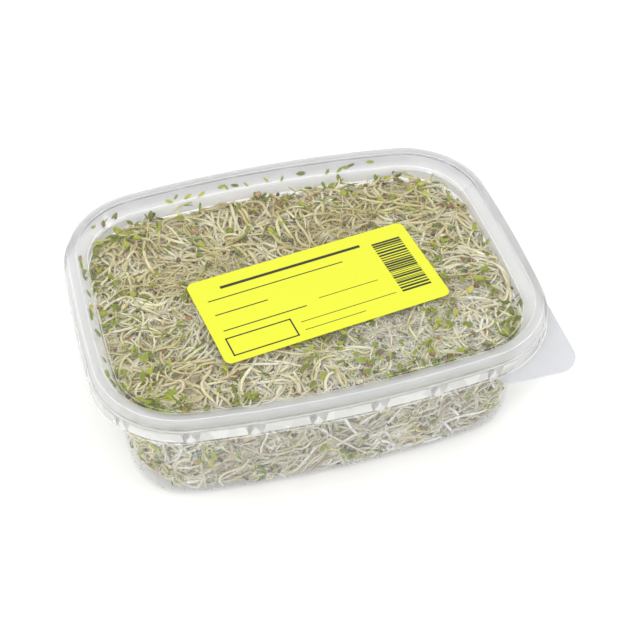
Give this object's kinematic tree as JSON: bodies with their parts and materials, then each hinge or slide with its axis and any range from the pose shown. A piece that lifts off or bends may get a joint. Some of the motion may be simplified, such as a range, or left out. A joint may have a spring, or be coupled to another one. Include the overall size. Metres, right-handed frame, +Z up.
{
  "type": "tub of alfalfa sprouts",
  "caption": "Clear rectangular food tub with a pressed-on lid and a sticky label, packed full of a tangle of alfalfa sprouts.",
  "frame": {"origin": "on the surface that the tub stands on, under the middle of its lid", "axes": "+Z up out of the lid, +X along the tub's long side, with the lid's lifting tab at the +X -Y corner"},
  "size_m": [0.18, 0.136, 0.0601],
  "materials": {
    "clear_tub": "thin clear polypropylene, smooth, slightly grey",
    "milky_lid": "thin polypropylene, smooth, slightly milky",
    "yellow_label": "fluorescent yellow paper, matt",
    "sprout_cream": "moist cream stems with green seed leaves and brown hulls"
  },
  "bodies": {
    "root": {"tub": "clear_tub", "lid": "milky_lid", "label": "yellow_label", "sprouts": "sprout_cream"}
  },
  "joints": []
}
